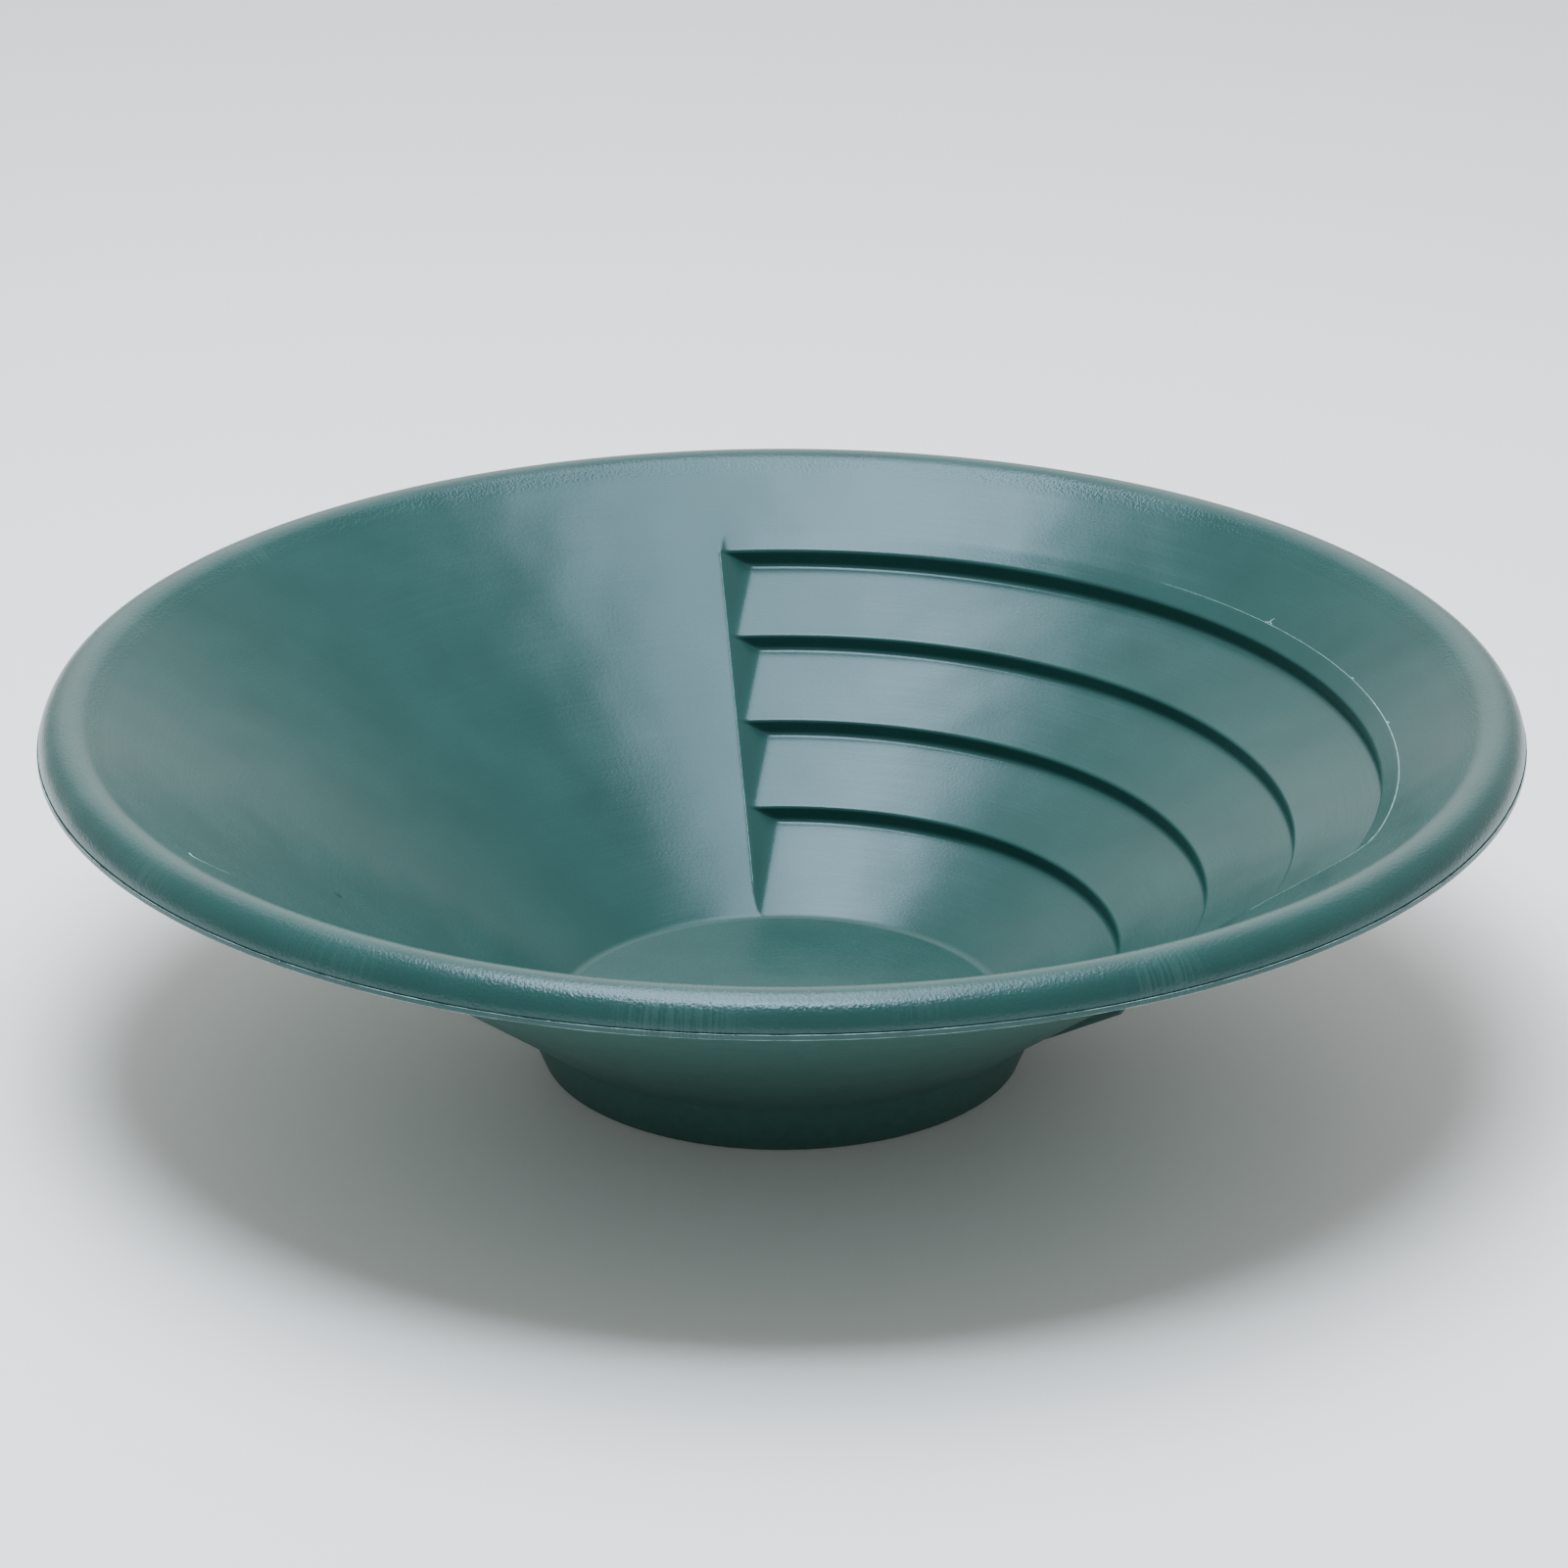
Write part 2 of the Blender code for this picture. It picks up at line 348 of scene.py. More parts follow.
def section(bowl, riffles):
    """Each row of the pan's section: plain place, place at full depth, zone and side of the mould."""
    wall = Wall(bowl)
    corners, reaches = riffle_corners(riffles)
    top = (wall.length - SUPPORT, 0.0)
    face = dense(softened(corners + [top], reaches))
    outside = offset([BELOW_CORNER] + corners + [top], -bowl.wall)
    back_corners = [(along, (deep - bowl.wall) * riffles.back_swell) for along, deep in outside]
    foot_bottom = (bowl.foot_radius, 0.0)
    foot_line = ((bowl.foot_top_radius, bowl.foot_top_height), foot_bottom)

    def full_and_plain(shape):
        return zip(shape(0.0), shape(1.0))

    def floor_rounding(cut):
        first = face[1][0] if cut else (top[0], 0.0)
        return rounded((0.0, bowl.floor_height), wall.corner, wall.at(*first), bowl.floor_fillet, FLOOR_STEPS)

    rows = [(plain, full, EVERYWHERE, INNER) for plain, full in full_and_plain(floor_rounding)]
    for (along, deep), zone in face:
        if along > bowl.floor_fillet + 3 * SUPPORT:
            rows.append((wall.at(along), wall.at(along, deep), zone, INNER))

    def arc(radius, first, last, steps):
        angles = [first + (last - first) * step / steps for step in range(steps + 1)]
        return [(wall.roll[0] + radius * cos(a), wall.roll[1] + radius * sin(a)) for a in angles]

    tangent = pi / 2 + wall.slope
    bead = arc(bowl.roll_radius, tangent, 0.0, BEAD_STEPS)
    hook = arc(bowl.roll_radius - bowl.wall, 0.0, tangent, HOOK_STEPS)
    band_top, band_bottom = wall.roll[1], wall.roll[1] - bowl.band_height
    band = softened(
        [bead[-1], (bowl.rim_radius, band_top), (bowl.rim_radius, band_bottom), (hook[0][0], band_bottom)],
        [bowl.band_round, bowl.band_round],
    )
    inner_edge = rounded(band[-2], band[-1], hook[1], bowl.band_round)
    rows += [(place, place, EVERYWHERE, INNER) for place in bead[:-1] + band[:-1]]
    rows += [(place, place, EVERYWHERE, OUTER) for place in inner_edge + hook[2:]]

    back_line = (wall.at(back_corners[0][0], bowl.wall), wall.at(top[0], bowl.wall))
    cut_line = (wall.at(back_corners[0][0], bowl.wall + back_corners[0][1]),
                wall.at(back_corners[1][0], bowl.wall + back_corners[1][1]))

    def foot_rounding(cut):
        line = cut_line if cut else back_line
        return rounded(line[1], crossing(*line, *foot_line), foot_bottom, bowl.foot_fillet, FOOT_STEPS)

    lowest = max(foot_rounding(cut)[0][0] for cut in (0, 1))
    for (along, deep), zone in reversed(dense(softened(back_corners, reaches))):
        full = wall.at(along, bowl.wall + deep)
        if full[0] > lowest + 2 * SUPPORT:
            rows.append((wall.at(along, bowl.wall), full, zone, OUTER))
    rows += [(plain, full, EVERYWHERE, OUTER) for plain, full in full_and_plain(foot_rounding)]

    foot_inside = bowl.foot_radius - bowl.wall
    under = bowl.floor_height - bowl.wall
    foot = softened(
        [foot_rounding(0)[-1], foot_bottom, (foot_inside, 0.0), (foot_inside, under), (0.0, under)],
        [bowl.edge_round] * 2 + [bowl.foot_fillet],
    )
    rows += [(place, place, EVERYWHERE, OUTER) for place in foot[1:-1]]
    return rows


def columns(riffles):
    """Each column's base angle, how it leans with distance across, that distance, and its zone."""
    inner = riffles.end_spread + riffles.corner_soft + 2 * DENSE_ACROSS
    outer = -(riffles.end_soft + 2 * DENSE_ACROSS)
    steps = round((inner - outer) / DENSE_ACROSS)
    across = [outer + (inner - outer) * step / steps for step in range(steps + 1)]
    placed = [(riffles.start, 1.0, distance, AT_ENDS) for distance in across]
    sector = riffles.end - riffles.start
    strips = round(sector / COLUMN_STEP)
    for strip in range(1, strips):
        part = strip / strips
        placed.append((riffles.start + part * sector, 1 - 2 * part, inner, IN_SECTOR))
    placed += [(riffles.end, -1.0, distance, AT_ENDS) for distance in reversed(across)]
    plain = 2 * pi - sector - 2 * END_CLEAR
    strips = round(plain / COLUMN_STEP)
    for strip in range(strips + 1):
        angle = riffles.end + END_CLEAR + plain * strip / strips
        placed.append((angle, 0.0, outer, EVERYWHERE))
    return placed


def flat_pattern(bowl, riffles):
    """The pan's surface before it is turned: every column's points lie on the same upright plane."""
    rows = section(bowl, riffles)
    down = Wall(bowl).down
    places, faces, rings = [], [], []
    values = {name: [] for name in PATTERN_VALUES}
    for base, lean, distance, zone in columns(riffles):
        ring = {}
        for row, (plain, full, row_zone, side) in enumerate(rows):
            if row_zone > zone:
                continue
            ring[row] = len(places)
            places.append((plain[0], 0.0, plain[1]))
            out, up = full[0] - plain[0], full[1] - plain[1]
            deep = out * down[0] + up * down[1]
            for name, value in zip(values, (base, lean, distance, deep, out, -up, side)):
                values[name].append(value)
        rings.append(ring)
    for here, beyond in zip(rings, rings[1:] + rings[:1]):
        shared = sorted(set(here) & set(beyond))
        for low, high in zip(shared, shared[1:]):
            near = [here[row] for row in range(low, high + 1) if row in here]
            far = [beyond[row] for row in range(high, low - 1, -1) if row in beyond]
            faces.append(near + far)
    faces.append([ring[0] for ring in reversed(rings)])
    faces.append([ring[len(rows) - 1] for ring in rings])
    mesh = bpy.data.meshes.new("pan_pattern")
    mesh.from_pydata(places, [], faces)
    for name, numbers in values.items():
        mesh.attributes.new(name, "FLOAT", "POINT").data.foreach_set("value", numbers)
    return mesh


def new_tree(name, sizes):
    """An empty Geometry Nodes tree with a geometry in and out, and these named inputs."""
    tree = bpy.data.node_groups.new(name, "GeometryNodeTree")
    tree.interface.new_socket("Geometry", in_out="INPUT", socket_type="NodeSocketGeometry")
    tree.interface.new_socket("Geometry", in_out="OUTPUT", socket_type="NodeSocketGeometry")
    for label, kind in sizes.items():
        tree.interface.new_socket(label, in_out="INPUT", socket_type=kind)
    return tree, add(tree, "NodeGroupInput"), add(tree, "NodeGroupOutput")


def ended(tree, geometry, given, result):
    """Ends a tree as every piece needs it: smooth, real and painted."""
    smooth = add(tree, "GeometryNodeSetShadeSmooth", {"Geometry": geometry})
    real = add(tree, "GeometryNodeRealizeInstances", {"Geometry": smooth})
    painted = add(tree, "GeometryNodeSetMaterial", {"Geometry": real, "Material": given.outputs["Plastic"]})
    tree.links.new(painted.outputs[0], result.inputs[0])
    return tree


def turning_tree():
    """The tree that turns the flat pattern into the pan."""
    sizes = ("Draft", "Lead", "Back Swell", "End Softness", "Corner Softness")
    kinds = {name: "NodeSocketFloat" for name in sizes}
    tree, given, result = new_tree("Turned Pan", kinds | {"Plastic": "NodeSocketMaterial"})
    size = {name: given.outputs[name] for name in sizes}
    read = {}
    for name in PATTERN_VALUES:
        reader = add(tree, "GeometryNodeInputNamedAttribute", {"Name": name}, data_type="FLOAT")
        read[name] = reader.outputs["Attribute"]

    # The end walls let the riffles in to this depth, which grows with the distance across.
    inside_end = add(tree, MATHS, (read["outside"], size["Lead"], read["across"]), operation="MULTIPLY_ADD")
    extra = add(tree, MATHS, (size["Back Swell"], 1.0), operation="SUBTRACT")
    steeper = add(tree, MATHS, (read["outside"], extra, 1.0), operation="MULTIPLY_ADD")
    limit = add(tree, MATHS, (inside_end, size["Draft"]), operation="MULTIPLY")
    limit = add(tree, MATHS, (limit, steeper), operation="MULTIPLY")
    limit = add(tree, MATHS, (limit, 0.0, size["End Softness"]), operation="SMOOTH_MAX")
    deep = add(tree, MATHS, (read["deep"], limit, size["Corner Softness"]), operation="SMOOTH_MIN")
    deep = add(tree, MATHS, (deep, 0.0), operation="MAXIMUM")

    # The same share of the way from the plain wall to the full depth, in radius and height.
    full = add(tree, MATHS, (read["deep"], LEAST_DEPTH), operation="MAXIMUM")
    part = add(tree, MATHS, (deep, full), operation="DIVIDE")
    plain = add(tree, "ShaderNodeSeparateXYZ", (add(tree, "GeometryNodeInputPosition"),))
    radius = add(tree, MATHS, (part, read["cut_out"], plain.outputs["X"]), operation="MULTIPLY_ADD")
    drop = add(tree, MATHS, (part, read["cut_down"]), operation="MULTIPLY")
    height = add(tree, MATHS, (plain.outputs["Z"], drop), operation="SUBTRACT")

    sine = add(tree, MATHS, (read["across"], radius), operation="DIVIDE")
    lean = add(tree, MATHS, (sine,), operation="ARCSINE")
    angle = add(tree, MATHS, (lean, read["lean"], read["turn"]), operation="MULTIPLY_ADD")
    return ended(tree, add(tree, "GeometryNodeSetPosition", {
        "Geometry": given.outputs["Geometry"], "Position": around(tree, radius, angle, height),
    }), given, result)


def around(tree, radius, angle, height):
    """The place at this radius, angle and height."""
    shares = [add(tree, MATHS, (angle,), operation=way) for way in ("COSINE", "SINE")]
    across = [add(tree, MATHS, (radius, part), operation="MULTIPLY") for part in shares]
    return add(tree, "ShaderNodeCombineXYZ", (*across, height))


def fleck_tree():
    """The tree that scatters flecks of flash round a circle."""
    sizes = {"Radius": "NodeSocketFloat", "Height": "NodeSocketFloat", "Flecks": "NodeSocketInt",
             "Fleck": "NodeSocketFloat", "Seed": "NodeSocketInt", "Plastic": "NodeSocketMaterial"}
    tree, given, result = new_tree("Flash Flecks", sizes)
    size = {name: given.outputs[name] for name in sizes}

    def chance(low, high, salt):
        """A random number in this range for each fleck."""
        seed = add(tree, MATHS, (size["Seed"], salt), operation="ADD")
        return add(tree, "FunctionNodeRandomValue", {2: low, 3: high, "Seed": seed}).outputs[1]

    circle = add(tree, "GeometryNodeMeshCircle", {"Vertices": size["Flecks"], "Radius": size["Radius"]})
    apart = add(tree, MATHS, (2 * pi, size["Flecks"]), operation="DIVIDE")
    turns = add(tree, MATHS, (add(tree, "GeometryNodeInputIndex"), chance(-0.5, 0.5, 0)), operation="ADD")
    angle = add(tree, MATHS, (turns, apart), operation="MULTIPLY")
    spread = add(tree, "GeometryNodeSetPosition", {
        "Geometry": circle, "Position": around(tree, size["Radius"], angle, size["Height"]),
    })

    # Most flecks are short: the length of each is the cube of a random share.
    reach = add(tree, MATHS, (chance(0.35, 1.0, 100), 3.0), operation="POWER")
    thick, tall = chance(0.06, 0.13, 200), chance(0.10, 0.26, 300)
    axes = [add(tree, MATHS, (size["Fleck"], part), operation="MULTIPLY") for part in (thick, reach, tall)]
    fleck = add(tree, "GeometryNodeMeshIcoSphere", {"Radius": 1.0, "Subdivisions": 1})
    placed = add(tree, "GeometryNodeInstanceOnPoints", {
        "Points": spread, "Instance": fleck,
        "Rotation": add(tree, "ShaderNodeCombineXYZ", {"Z": angle}),
        "Scale": add(tree, "ShaderNodeCombineXYZ", axes),
    })
    return ended(tree, placed, given, result)


def ridge_tree():
    """The tree that runs an uneven ridge of flash along the edges of a mesh."""
    sizes = {"Unevenness": "NodeSocketFloat", "Run": "NodeSocketFloat", "Plastic": "NodeSocketMaterial"}
    tree, given, result = new_tree("Flash Ridge", sizes)
    paths = add(tree, "GeometryNodeMeshToCurve", (given.outputs["Geometry"],))
    runs = add(tree, MATHS, (1.0, given.outputs["Run"]), operation="DIVIDE")
    lumps = add(tree, "ShaderNodeTexNoise", {"Scale": runs, "Detail": 2.0})
    swing = add(tree, MATHS, (lumps, 0.5), operation="SUBTRACT")
    swing = add(tree, MATHS, (swing, given.outputs["Unevenness"]), operation="MULTIPLY")
    swing = add(tree, MATHS, (swing, 1.0), operation="ADD")
    even = add(tree, "GeometryNodeInputNamedAttribute", {"Name": "thick"}, data_type="FLOAT")
    thick = add(tree, MATHS, (even.outputs["Attribute"], swing), operation="MULTIPLY")
    outline = add(tree, "GeometryNodeCurvePrimitiveCircle", {"Resolution": 6, "Radius": 1.0})
    ridge = add(tree, "GeometryNodeCurveToMesh", {
        "Curve": paths, "Profile Curve": outline, "Fill Caps": True,
        "Scale": add(tree, MATHS, (thick, 0.0), operation="MAXIMUM"),
    })
    return ended(tree, ridge, given, result)


def made_by(tree, name, source, inputs):
    """The plain mesh object that a tree makes from a source mesh, with its faces pointing out."""
    maker = bpy.data.objects.new(name + "_maker", source)
    bpy.context.scene.collection.objects.link(maker)
    modifier = maker.modifiers.new(tree.name, "NODES")
    modifier.node_group = tree
    for item in tree.interface.items_tree:
        if item.in_out == "INPUT" and item.name in inputs:
            modifier[item.identifier] = inputs[item.name]
    graph = bpy.context.evaluated_depsgraph_get()
    mesh = bpy.data.meshes.new_from_object(maker.evaluated_get(graph))
    maker.modifiers.remove(modifier)
    bpy.data.objects.remove(maker)
    shape = bmesh.new()
    shape.from_mesh(mesh)
    bmesh.ops.recalc_face_normals(shape, faces=shape.faces)
    shape.to_mesh(mesh)
    shape.free()
    mesh.name = name
    piece = bpy.data.objects.new(name, mesh)
    bpy.context.scene.collection.objects.link(piece)
    return piece


def moulded_polypropylene(finish):
    """Injection-moulded polypropylene, satin inside and matt outside, where the mould was blasted.

    To the eye: a soft broad sheen, orange peel in the highlights, and pigment that clouds a little.
    """
    material = bpy.data.materials.new("Injection-moulded polypropylene")
    material.use_nodes = True
    tree = material.node_tree
    shader = tree.nodes["Principled BSDF"]
    shader.inputs["IOR"].default_value = POLYPROPYLENE_IOR
    shader.inputs["Specular IOR Level"].default_value = 0.43
    shader.inputs["Specular Tint"].default_value = linear("DDF0FF")
    place = add(tree, "ShaderNodeTexCoord").outputs["Object"]
    outside = add(tree, "ShaderNodeAttribute", attribute_name="outside").outputs["Fac"]

    # Place round the pan, as metres along the rim, metres from the axis, and height.
    split = add(tree, "ShaderNodeSeparateXYZ", (place,)).outputs
    heading = add(tree, MATHS, (split["Y"], split["X"]), operation="ARCTAN2")
    along = add(tree, MATHS, (heading, RIM_SPAN), operation="MULTIPLY")
    squares = [add(tree, MATHS, (split[axis], 2.0), operation="POWER") for axis in "XY"]
    radius = add(tree, MATHS, (add(tree, MATHS, squares, operation="ADD"),), operation="SQRT")
    rolled = add(tree, "ShaderNodeMapRange", {
        "Value": radius, "From Min": ROLL_START, "From Max": ROLL_START + 2 * MM,
    })

    def stretched(*lengths):
        """The place round the pan, with one unit to each of these lengths: round, outwards and up."""
        return add(tree, "ShaderNodeCombineXYZ", [
            add(tree, MATHS, (metres, unit), operation="DIVIDE")
            for metres, unit in zip((along, radius, split["Z"]), lengths)
        ])

    # Clouding some 20 mm across, from pigment that spread unevenly as the mould filled.
    cloud = add(tree, "ShaderNodeTexNoise", {"Vector": place, "Scale": 1 / (20 * MM), "Detail": 3.0})
    green = add(tree, "ShaderNodeMix", {
        "A": finish.deep_green, "B": finish.pale_green, 0: cloud,
    }, data_type="RGBA").outputs[2]

    # A blasted mould leaves a grain too fine to show, so it is drawn 2.5 mm across, outside only.
    grain = add(tree, "ShaderNodeTexNoise", {"Vector": place, "Scale": 1 / (2.5 * MM), "Detail": 3.0})
    outer = add(tree, "ShaderNodeMix", {
        "A": finish.outer_green, "B": finish.deep_green,
        0: add(tree, MATHS, (grain, 0.5), operation="MULTIPLY"),
    }, data_type="RGBA").outputs[2]
    green = add(tree, "ShaderNodeMix", {"A": green, "B": outer, 0: outside}, data_type="RGBA").outputs[2]

    # A lump of pigment 1.8 mm across in the left wall.
    lump = add(tree, "ShaderNodeVectorMath", (place, PIGMENT_LUMP), operation="DISTANCE").outputs["Value"]
    speck = add(tree, "ShaderNodeMapRange", {
        "Value": lump, "From Min": 0.6 * MM, "From Max": 1.3 * MM, "To Min": 1.0, "To Max": 0.0,
    })
    green = add(tree, "ShaderNodeMix", {
        "A": green, "B": finish.speck_green, 0: speck,
    }, data_type="RGBA").outputs[2]

    # Drag marks: upright scratches 0.5 mm apart on the rim, in patches where it stuck in the mould.
    scratch = add(tree, "ShaderNodeTexNoise", {
        "Vector": stretched(0.5 * MM, 1.0, 9 * MM), "Scale": 1.0, "Detail": 1.0,
    })
    patch = add(tree, "ShaderNodeTexNoise", {
        "Vector": stretched(34 * MM, 1.0, 40 * MM), "Scale": 1.0, "Detail": 0.0,
    })
    stuck = add(tree, "ShaderNodeMapRange", {"Value": patch, "From Min": 0.60, "From Max": 0.74})
    marks = add(tree, "ShaderNodeMapRange", {"Value": scratch, "From Min": 0.42, "From Max": 0.62})
    marks = add(tree, MATHS, (marks, stuck), operation="MULTIPLY")
    marks = add(tree, MATHS, (marks, rolled), operation="MULTIPLY")
    green = add(tree, "ShaderNodeMix", {
        "A": green, "B": finish.flash_and_glint_green,
        0: add(tree, MATHS, (marks, MARK_PALENESS), operation="MULTIPLY"),
    }, data_type="RGBA").outputs[2]
    tree.links.new(green, shader.inputs["Base Color"])

    # Polishing lines that run round the pan, as in the turned steel of a mould. Real ones can be too fine
    # to show, so these are drawn some 0.7 mm apart.
    lines = add(tree, "ShaderNodeTexNoise", {
        "Vector": stretched(60 * MM, 0.7 * MM, 0.5 * MM), "Scale": 1.0, "Detail": 2.0,
    })
    # "rougher" is how much more the outside has, and "smoothest" what the inside has without the patterns.
    rougher, smoothest = finish.blasted - finish.polished, finish.polished - MEAN_GLOSS
    gloss = add(tree, MATHS, (outside, rougher, smoothest), operation="MULTIPLY_ADD")
    for pattern, amount in ((cloud, CLOUD_GLOSS), (lines, LINE_GLOSS), (marks, MARK_GLOSS)):
        gloss = add(tree, MATHS, (pattern, amount, gloss), operation="MULTIPLY_ADD")
    tree.links.new(gloss.outputs[0], shader.inputs["Roughness"])

    # Orange peel: low waves 0.7 mm across, deepest on the rolled rim.
    peel = add(tree, "ShaderNodeTexNoise", {"Vector": place, "Scale": 1 / (0.7 * MM), "Detail": 1.0})
    peel = add(tree, MATHS, (marks, MARK_HEIGHT, peel), operation="MULTIPLY_ADD")
    deepening = PEEL_ON_ROLL - PEEL_ON_WALL
    depth = add(tree, MATHS, (rolled, deepening, PEEL_ON_WALL), operation="MULTIPLY_ADD")
    bumps = add(tree, MATHS, (peel, depth), operation="MULTIPLY")
    # Uneven cooling leaves the wall very slightly wavy, a wave to every 25 mm or so.
    waves = add(tree, "ShaderNodeTexNoise", {"Vector": place, "Scale": 1 / (25 * MM), "Detail": 1.0})
    blasting = add(tree, MATHS, (grain, outside), operation="MULTIPLY")
    for pattern, height in ((lines, LINE_HEIGHT), (waves, WAVE_HEIGHT), (blasting, GRAIN_HEIGHT)):
        bumps = add(tree, MATHS, (pattern, height, bumps), operation="MULTIPLY_ADD")
    bump = add(tree, "ShaderNodeBump", {"Height": bumps, "Strength": 1.0, "Distance": BUMP_STEP})
    tree.links.new(bump.outputs["Normal"], shader.inputs["Normal"])
    return material


def flash_with_painted_glints(finish):
    """Flash of polypropylene: pale partly because thin strained flash scatters light, and partly as painted
    glints.
    """
    material = bpy.data.materials.new("Polypropylene flash with painted glints")
    material.use_nodes = True
    tree = material.node_tree
    shader = tree.nodes["Principled BSDF"]
    shader.inputs["IOR"].default_value = POLYPROPYLENE_IOR
    shader.inputs["Roughness"].default_value = 0.35
    place = add(tree, "ShaderNodeTexCoord").outputs["Object"]
    strain = add(tree, "ShaderNodeTexNoise", {"Vector": place, "Scale": 1 / (2 * MM), "Detail": 2.0})
    green = add(tree, "ShaderNodeMix", {
        "A": finish.strained_flash_and_glint_green, "B": finish.flash_and_glint_green, 0: strain,
    }, data_type="RGBA").outputs[2]
    tree.links.new(green, shader.inputs["Base Color"])
    return material


def studio_paper(colour_of_floor):
    """Seamless paper, matt and evenly pale."""
    material = bpy.data.materials.new("Seamless studio paper")
    material.use_nodes = True
    shader = material.node_tree.nodes["Principled BSDF"]
    shader.inputs["Base Color"].default_value = colour_of_floor
    shader.inputs["Roughness"].default_value = 0.9
    shader.inputs["Specular IOR Level"].default_value = 0.2
    return material


def place_on(bowl, radius, angle):
    """A point on the plain wall's face, by its radius and angle."""
    wall = Wall(bowl)
    height = wall.corner[1] + (radius - wall.corner[0]) * tan(wall.slope)
    return (radius * cos(angle), radius * sin(angle), height)


def ridge_source(name, paths):
    """A mesh of edges, one chain for each path of (point, thickness)."""
    points, edges, thick = [], [], []
    for path in paths:
        first = len(points)
        edges += [(first + step, first + step + 1) for step in range(len(path) - 1)]
        points += [point for point, _ in path]
        thick += [size for _, size in path]
    mesh = bpy.data.meshes.new(name)
    mesh.from_pydata(points, edges, [])
    mesh.attributes.new("thick", "FLOAT", "POINT").data.foreach_set("value", thick)
    return mesh


class MESH_OT_gold_pan_bowl(Operator):
    """Make the pan itself, turned from its section, with the riffles let in"""

    bl_idname = "mesh.gold_pan_bowl"
    bl_label = "Pan"

    def execute(self, context):
        bowl, riffles = context.scene.gold_pan_bowl, context.scene.gold_pan_riffles
        draft = (riffles.lip_depth + riffles.riser_depth) / riffles.end_spread
        piece = made_by(turning_tree(), "moulded_pan", flat_pattern(bowl, riffles), {
            "Draft": draft,
            "Lead": bowl.wall * (sqrt(1 + draft ** 2) - 1) / draft,
            "Back Swell": riffles.back_swell,
            "End Softness": riffles.end_soft,
            "Corner Softness": riffles.corner_soft,
            "Plastic": moulded_polypropylene(context.scene.gold_pan_finish),
        })
        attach(piece, BODY)
        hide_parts(NODE)
        return {"FINISHED"}


class MESH_OT_gold_pan_rim_flash(Operator):
    """Make the fins and flecks of flash along the two edges of the rim's band"""

    bl_idname = "mesh.gold_pan_rim_flash"
    bl_label = "Rim Flash"

    def execute(self, context):
        bowl, flash = context.scene.gold_pan_bowl, context.scene.gold_pan_flash
        # The flash's pale colour also paints the glints that catch the light along the band's two edges.
        plastic = flash_with_painted_glints(context.scene.gold_pan_finish)
        band_top = bowl.height - bowl.roll_radius
        radius = bowl.rim_radius - 2 * flash.fin
        angles = [2 * pi * step / FIN_STEPS for step in range(FIN_STEPS + 1)]
        for name, height in (("upper", band_top), ("lower", band_top - bowl.band_height)):
            path = [((radius * cos(a), radius * sin(a), height), flash.fin) for a in angles]
            fin = made_by(ridge_tree(), f"flash_fin_{name}", ridge_source("fin_path", [path]), {
                "Unevenness": 3.4, "Run": 5 * MM, "Plastic": plastic,
            })
            flecks = made_by(fleck_tree(), f"flash_flecks_{name}", bpy.data.meshes.new("no_source"), {
                "Radius": radius, "Height": height, "Flecks": flash.flecks, "Fleck": flash.fleck,
                "Seed": flash.seed + (name == "lower"), "Plastic": plastic,
            })
            for piece in (fin, flecks):
                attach(piece, BODY)
        return {"FINISHED"}


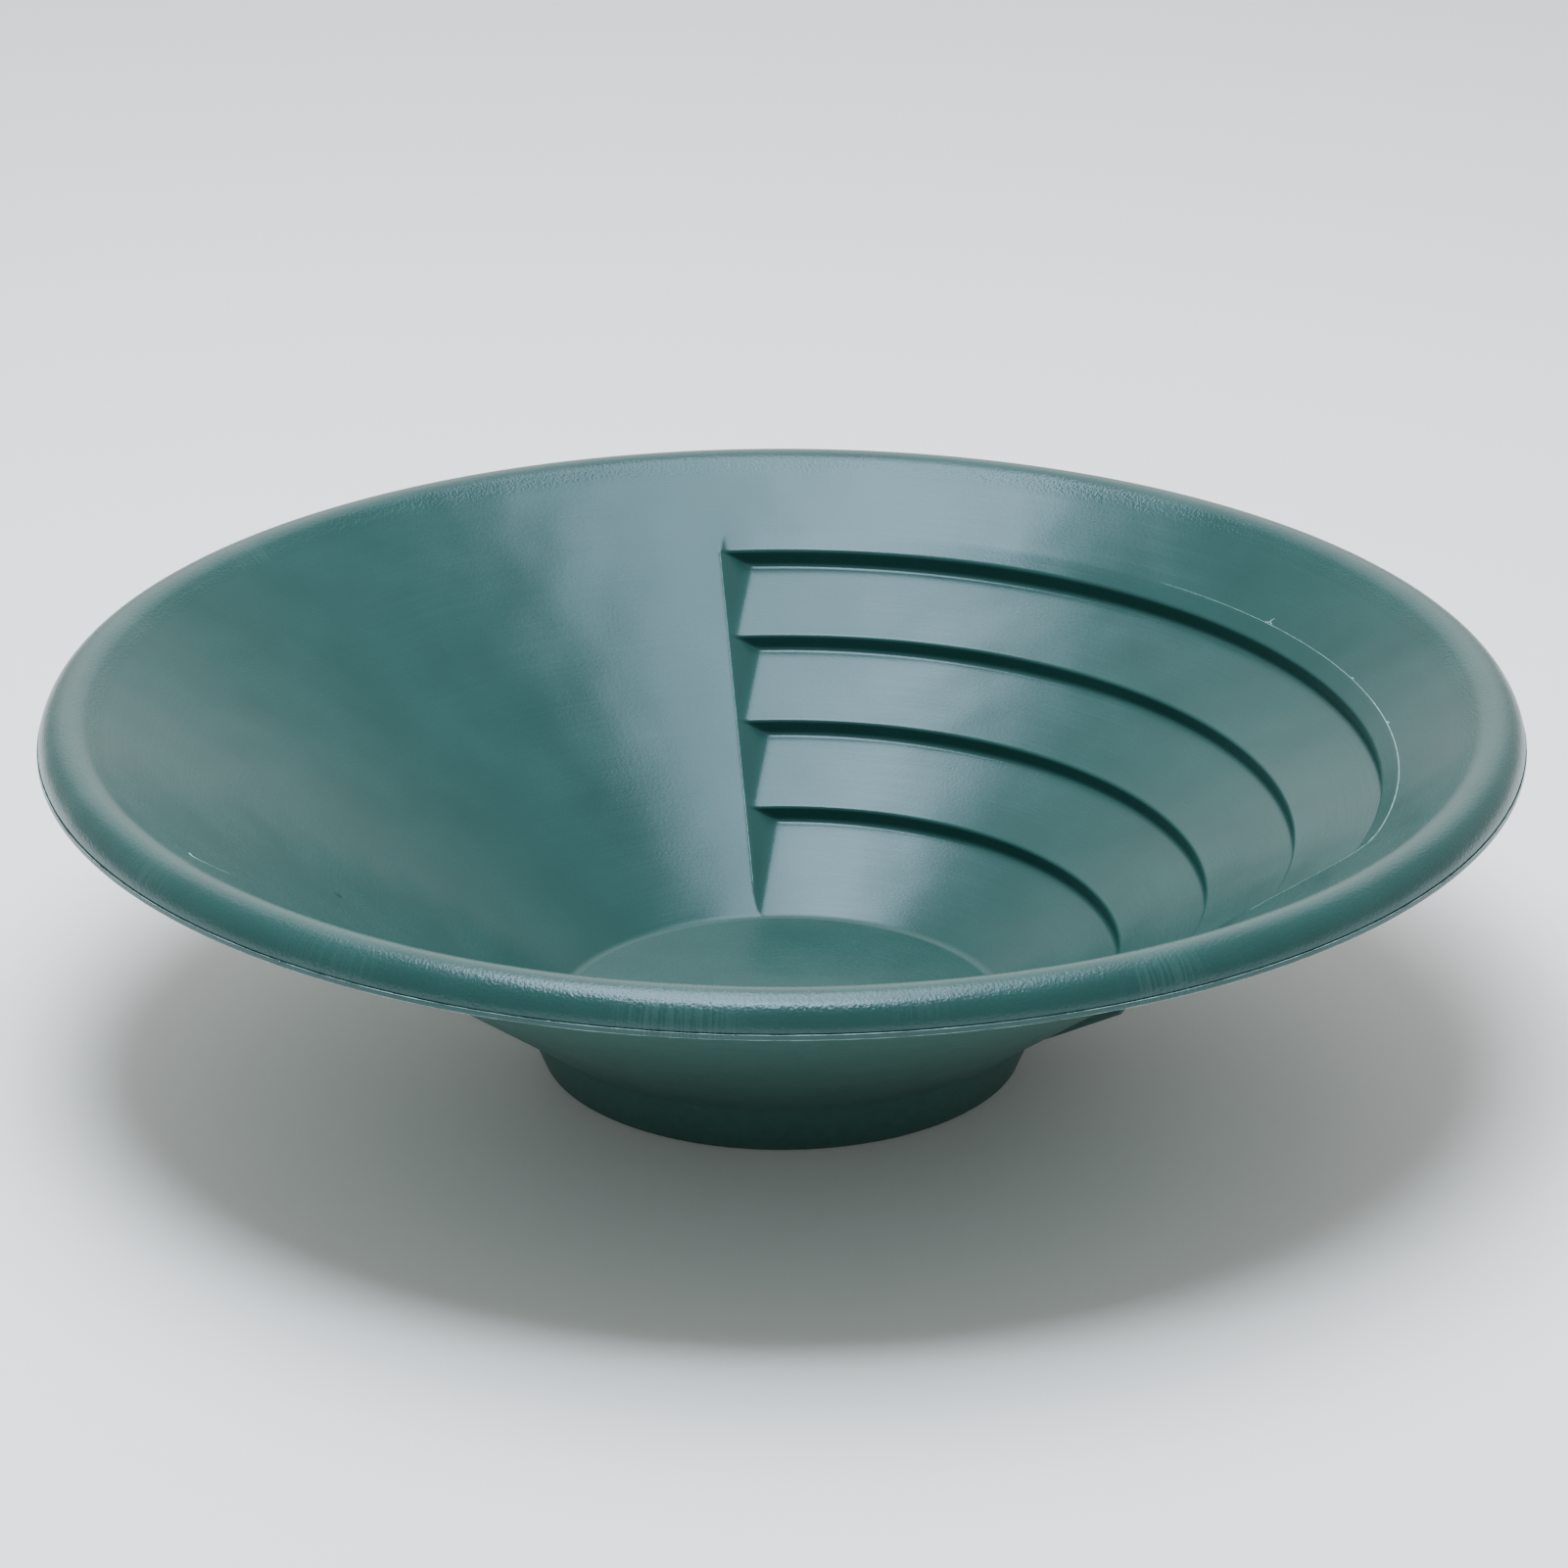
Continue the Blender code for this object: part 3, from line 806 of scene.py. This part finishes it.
class MESH_OT_gold_pan_insert_flash(Operator):
    """Make the lines that the riffle insert left on the wall, one of them partly a painted highlight along an
    end's edge, and the loose whiskers of flash
    """

    bl_idname = "mesh.gold_pan_insert_flash"
    bl_label = "Insert Flash"

    def execute(self, context):
        scene = context.scene
        bowl, riffles, flash = scene.gold_pan_bowl, scene.gold_pan_riffles, scene.gold_pan_flash

        def run(places, thickness, steps=WHISKER_STEPS):
            """A path through (radius, degrees, share of the thickness), thinned to nothing at its ends."""
            path = []
            for here, beyond in zip(places, places[1:]):
                path += [between(here, beyond, step / steps) for step in range(steps)]
            path.append(places[-1])
            made = []
            for at, (radius, turned, part) in enumerate(path):
                taper = min(1.0, at / 2, (len(path) - 1 - at) / 2)
                made.append((place_on(bowl, radius, radians(turned)), thickness * part * taper))
            return made

        def beside(end, clear, radii, part):
            """Places just outside one end of the riffles, clear of it by the same distance throughout."""
            return [(radius, degrees(end + asin(clear / radius)), part) for radius in radii]

        edge = flash.insert_radius
        over_riffles = [
            (edge, 49, 0.35), (edge, 36, 0.6), (edge, 14, 0.8), (edge, 10, 1.3), (edge, -14, 1.3),
            (edge, -20.4, 0.9), (edge - 0.8 * MM, -22.3, 0.6), (edge - 2.6 * MM, -23.4, 0.5),
        ]
        start_edge = beside(riffles.start, -0.6 * MM, (0.136, 0.128, 0.114), 0.4)
        # Along the sector's last end, this pale line stands partly for flash and partly for a painted
        # highlight on that rounded edge.
        end_edge = beside(riffles.end, 0.25 * MM, (0.1385, 0.12, 0.1, 0.08, 0.06), 0.5)
        lines = [
            run(over_riffles + start_edge, flash.insert_line, LINE_STEPS),
            run(end_edge, flash.insert_line, LINE_STEPS),
        ]
        whiskers = [run(places, flash.whisker) for places in (
            [(edge, 34.3, 0.8), (edge + 0.4 * MM, 33.7, 1.0), (edge + 1.7 * MM, 33.5, 0.7)],
            [(edge + 0.2 * MM, 33.2, 0.7), (edge + 0.5 * MM, 33.7, 0.9)],
            [(edge + 0.1 * MM, 17.9, 0.8), (edge + 0.3 * MM, 17.3, 1.0)],
            [(edge + 0.1 * MM, 6.5, 0.9), (edge + 0.4 * MM, 5.8, 1.2)],
            [(0.1487, -150.7, 1.6), (0.1490, -149.6, 0.8), (0.1449, -149.8, 0.5), (0.1382, -150.9, 0.3)],
        )]
        piece = made_by(ridge_tree(), "insert_flash", ridge_source("insert_paths", lines + whiskers), {
            "Unevenness": 1.6, "Run": 2.5 * MM, "Plastic": flash_with_painted_glints(scene.gold_pan_finish),
        })
        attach(piece, BODY)
        return {"FINISHED"}


def room_light(studio):
    """A soft room, dim on the camera's side and brightest high up behind the pan."""
    world = bpy.data.worlds.new("Soft room")
    world.use_nodes = True
    tree = world.node_tree
    direction = add(tree, "ShaderNodeTexCoord").outputs["Generated"]
    along = add(tree, "ShaderNodeVectorMath", (direction, AWAY), operation="DOT_PRODUCT")
    walls = add(tree, "ShaderNodeMapRange", {
        "Value": along.outputs["Value"], "From Min": -0.5, "From Max": 0.9,
        "To Min": studio.front_light, "To Max": studio.horizon_light,
    })
    near = add(tree, "ShaderNodeVectorMath", (direction, GLOW), operation="DOT_PRODUCT")
    glow = add(tree, "ShaderNodeMapRange", {
        "Value": near.outputs["Value"], "From Min": 0.8, "From Max": 1.0, "To Max": studio.back_light,
    }, interpolation_type="SMOOTHSTEP")
    strength = add(tree, MATHS, (walls, glow), operation="ADD")
    tree.links.new(strength.outputs[0], tree.nodes["Background"].inputs["Strength"])
    tree.nodes["Background"].inputs["Color"].default_value = linear("FFFFFF")
    return world


def softbox(name, place, size, watts, tint):
    """An oval area light that faces straight down."""
    light = bpy.data.lights.new(name, "AREA")
    light.shape, light.size, light.size_y, light.energy = "ELLIPSE", *size, watts
    light.color = tint[:3]
    lamp = bpy.data.objects.new(name, light)
    lamp.location = place
    bpy.context.scene.collection.objects.link(lamp)


class MESH_OT_gold_pan_studio(Operator):
    """Make the floor, the soft lights and the camera"""

    bl_idname = "mesh.gold_pan_studio"
    bl_label = "Studio"

    def execute(self, context):
        studio = context.scene.gold_pan_studio
        shape = bmesh.new()
        bmesh.ops.create_circle(shape, cap_ends=True, segments=96, radius=studio.floor_radius)
        mesh = bpy.data.meshes.new("studio_floor")
        shape.to_mesh(mesh)
        shape.free()
        mesh.materials.append(studio_paper(studio.floor_colour))
        floor = bpy.data.objects.new("studio_floor", mesh)
        context.scene.collection.objects.link(floor)

        context.scene.world = room_light(studio)
        for name, place, size, watts in (
            ("overhead_softbox", (-0.045, 0.07, 1.2), (0.83, 1.24), studio.softbox),
            ("softbox_core", (-0.21, 0.0, 1.18), (0.40, 0.9), studio.softbox_core),
            ("front_softbox", (0.0, -0.36, 1.16), (0.56, 0.22), studio.front_softbox),
        ):
            softbox(name, place, size, watts, studio.softbox_colour)

        camera = bpy.data.cameras.new("camera")
        camera.lens, camera.sensor_width = studio.lens, 36.0
        viewer = bpy.data.objects.new("camera", camera)
        viewer.location = studio.camera_place
        aim = Vector(studio.camera_aim) - Vector(studio.camera_place)
        viewer.rotation_euler = aim.to_track_quat("-Z", "Y").to_euler()
        context.scene.collection.objects.link(viewer)
        context.scene.camera = viewer
        return {"FINISHED"}


class VIEW3D_PT_gold_pan(Panel):
    """The gold pan's sizes, colours and makers, in the 3D view's sidebar"""

    bl_idname = "VIEW3D_PT_gold_pan"
    bl_label = "Gold Pan"
    bl_space_type = "VIEW_3D"
    bl_region_type = "UI"
    bl_category = "Gold Pan"

    def draw(self, context):
        for operator in OPERATORS:
            self.layout.operator(operator.bl_idname)
        for name, (group, label) in GROUPS.items():
            box = self.layout.box()
            box.label(text=label)
            for field in group.__annotations__:
                box.prop(getattr(context.scene, name), field)


GROUPS = {
    "gold_pan_bowl": (BowlSizes, "Bowl"),
    "gold_pan_riffles": (RiffleSizes, "Riffles"),
    "gold_pan_flash": (FlashSizes, "Flash"),
    "gold_pan_finish": (Finish, "Finish"),
    "gold_pan_studio": (Studio, "Studio"),
}
OPERATORS = (
    MESH_OT_gold_pan_bowl, MESH_OT_gold_pan_rim_flash, MESH_OT_gold_pan_insert_flash, MESH_OT_gold_pan_studio,
)
CLASSES = tuple(group for group, _ in GROUPS.values()) + OPERATORS + (VIEW3D_PT_gold_pan,)


def register():
    for kind in CLASSES:
        bpy.utils.register_class(kind)
    for name, (group, _) in GROUPS.items():
        setattr(bpy.types.Scene, name, PointerProperty(type=group))


def unregister():
    for name in GROUPS:
        delattr(bpy.types.Scene, name)
    for kind in reversed(CLASSES):
        bpy.utils.unregister_class(kind)


def main():
    """Makes the pan and its studio."""
    register()
    for operator in OPERATORS:
        family, name = operator.bl_idname.split(".")
        getattr(getattr(bpy.ops, family), name)()


if __name__ == "__main__":
    main()
